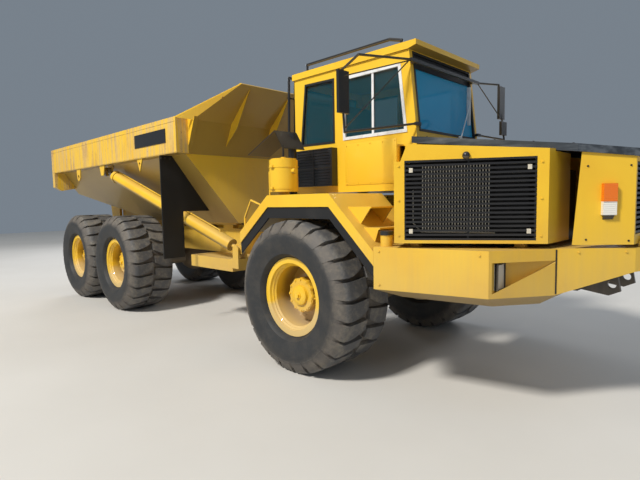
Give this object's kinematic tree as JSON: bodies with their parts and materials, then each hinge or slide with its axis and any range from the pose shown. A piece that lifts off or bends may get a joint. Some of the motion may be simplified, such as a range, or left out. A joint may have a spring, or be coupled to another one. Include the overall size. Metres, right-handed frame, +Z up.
{
  "type": "articulated dump truck",
  "caption": "Articulated dump truck with a tipping load body, hinged frame, cab and lugged wheels.",
  "frame": {"origin": "centre of the bounding box at ground level", "axes": "+X to the front of the truck, +Y to its left, +Z up"},
  "size_m": [9.83, 3.03, 3.2885],
  "materials": {
    "yellow": "weathered gloss",
    "dark": "matt",
    "black_rubber": "matt",
    "tyre": "dusty",
    "cast": "rough",
    "rod": "polished",
    "glass": "tinted",
    "lamp": "clear",
    "amber": "gloss",
    "black_plastic": "matt"
  },
  "bodies": {
    "front_unit": {"front_frame": "dark", "front_axle": "cast", "engine": "cast", "bumper": "yellow", "belly_pan": "yellow", "headlamps": "lamp", "fenders": "yellow", "fender_steps": "yellow", "fender_rails": "yellow", "filler_neck": "yellow", "filler_cap": "dark", "arch_lips": "black_rubber", "cab_shell": "yellow", "cab_roof": "yellow", "cab_glass": "glass", "seat": "black_plastic", "steering_column": "black_plastic", "louvre_box": "dark", "cab_rails": "dark", "mirrors": "dark", "air_cleaner": "yellow", "exhaust": "dark", "radiator_housing": "yellow", "side_grilles": "dark"},
    "hood": {"hood": "yellow", "hood_cover": "dark", "front_grille": "dark", "marker_lamps": "amber"},
    "cab_door": {"cab_door": "yellow", "door_glass": "glass"},
    "hitch": {"hitch": "cast"},
    "rear_frame": {"rear_frame": "yellow", "rear_axles": "cast", "bogie_beams": "cast"},
    "dump_body": {"dump_body": "yellow", "body_rails": "yellow", "rail_plates": "dark", "spill_guard": "yellow", "body_lugs": "yellow", "mud_flaps": "black_rubber"},
    "hoist_barrel_left": {"hoist_barrel_left": "yellow"},
    "hoist_rod_left": {"hoist_rod_left": "rod"},
    "steer_barrel_left": {"steer_barrel_left": "yellow"},
    "steer_rod_left": {"steer_rod_left": "rod"},
    "hoist_barrel_right": {"hoist_barrel_right": "yellow"},
    "hoist_rod_right": {"hoist_rod_right": "rod"},
    "steer_barrel_right": {"steer_barrel_right": "yellow"},
    "steer_rod_right": {"steer_rod_right": "rod"},
    "wheel_fl": {"tyre_fl": "tyre", "rim_fl": "yellow"},
    "wheel_fr": {"tyre_fr": "tyre", "rim_fr": "yellow"},
    "wheel_ml": {"tyre_ml": "tyre", "rim_ml": "yellow"},
    "wheel_mr": {"tyre_mr": "tyre", "rim_mr": "yellow"},
    "wheel_rl": {"tyre_rl": "tyre", "rim_rl": "yellow"},
    "wheel_rr": {"tyre_rr": "tyre", "rim_rr": "yellow"}
  },
  "joints": [
    {"name": "steer", "type": "hinge", "parent": "front_unit", "child": "hitch", "pos_m": [0.905, 0, 1], "axis": [0, 0, 1], "range_deg": [-45, 45]},
    {"name": "roll", "type": "hinge", "parent": "hitch", "child": "rear_frame", "pos_m": [0.905, 0, 1], "axis": [1, 0, 0], "range_deg": [-12, 12]},
    {"name": "tip", "type": "hinge", "parent": "rear_frame", "child": "dump_body", "pos_m": [-4.295, 0, 1.24], "axis": [0, -1, 0], "range_deg": [0, 70]},
    {"name": "cab_door_swing", "type": "hinge", "parent": "front_unit", "child": "cab_door", "pos_m": [2.127, 0.644, 2.425], "axis": [0, 0, 1], "range_deg": [0, 90]},
    {"name": "hood_tilt", "type": "hinge", "parent": "front_unit", "child": "hood", "pos_m": [4.885, 0, 1.35], "axis": [0, 1, 0], "range_deg": [0, 70]},
    {"name": "hoist_foot_left", "type": "hinge", "parent": "rear_frame", "child": "hoist_barrel_left", "pos_m": [0.585, 0.865, 1.095], "axis": [0.3769, 0.5528, 0.7432], "range_deg": [-0.2, 4.6]},
    {"name": "hoist_slide_left", "type": "slide", "parent": "hoist_barrel_left", "child": "hoist_rod_left", "axis": [-0.9219, 0.146, 0.3589], "range_m": [-0.02, 2.47]},
    {"name": "steer_foot_left", "type": "hinge", "parent": "front_unit", "child": "steer_barrel_left", "pos_m": [1.905, 0.4, 0.88], "axis": [0, 0, 1], "range_deg": [-1, 1]},
    {"name": "steer_slide_left", "type": "slide", "parent": "steer_barrel_left", "child": "steer_rod_left", "axis": [-0.9971, -0.076, 0], "range_m": [-0.25, 0.25]},
    {"name": "hoist_foot_right", "type": "hinge", "parent": "rear_frame", "child": "hoist_barrel_right", "pos_m": [0.585, -0.865, 1.095], "axis": [-0.3769, 0.5528, -0.7432], "range_deg": [-0.2, 4.6]},
    {"name": "hoist_slide_right", "type": "slide", "parent": "hoist_barrel_right", "child": "hoist_rod_right", "axis": [-0.9219, -0.146, 0.3589], "range_m": [-0.02, 2.47]},
    {"name": "steer_foot_right", "type": "hinge", "parent": "front_unit", "child": "steer_barrel_right", "pos_m": [1.905, -0.4, 0.88], "axis": [0, 0, 1], "range_deg": [-1, 1]},
    {"name": "steer_slide_right", "type": "slide", "parent": "steer_barrel_right", "child": "steer_rod_right", "axis": [-0.9971, 0.076, 0], "range_m": [-0.25, 0.25]},
    {"name": "wheel_fl_spin", "type": "hinge", "parent": "front_unit", "child": "wheel_fl", "pos_m": [2.205, 1.14, 0.765], "axis": [0, 1, 0], "continuous": true},
    {"name": "wheel_fr_spin", "type": "hinge", "parent": "front_unit", "child": "wheel_fr", "pos_m": [2.205, -1.14, 0.765], "axis": [0, 1, 0], "continuous": true},
    {"name": "wheel_ml_spin", "type": "hinge", "parent": "rear_frame", "child": "wheel_ml", "pos_m": [-2.045, 1.14, 0.765], "axis": [0, 1, 0], "continuous": true},
    {"name": "wheel_mr_spin", "type": "hinge", "parent": "rear_frame", "child": "wheel_mr", "pos_m": [-2.045, -1.14, 0.765], "axis": [0, 1, 0], "continuous": true},
    {"name": "wheel_rl_spin", "type": "hinge", "parent": "rear_frame", "child": "wheel_rl", "pos_m": [-3.725, 1.14, 0.765], "axis": [0, 1, 0], "continuous": true},
    {"name": "wheel_rr_spin", "type": "hinge", "parent": "rear_frame", "child": "wheel_rr", "pos_m": [-3.725, -1.14, 0.765], "axis": [0, 1, 0], "continuous": true}
  ],
  "couplings": [
    {"joint": "hoist_foot_left", "follows": "tip", "ratio": 0.062439},
    {"joint": "hoist_slide_left", "follows": "tip", "m_per_rad": 2.0049},
    {"joint": "steer_foot_left", "follows": "steer", "ratio": -0.0033},
    {"joint": "steer_slide_left", "follows": "steer", "m_per_rad": 0.2915},
    {"joint": "hoist_foot_right", "follows": "tip", "ratio": 0.062439},
    {"joint": "hoist_slide_right", "follows": "tip", "m_per_rad": 2.0049},
    {"joint": "steer_foot_right", "follows": "steer", "ratio": 0.0033},
    {"joint": "steer_slide_right", "follows": "steer", "m_per_rad": -0.2915}
  ]
}
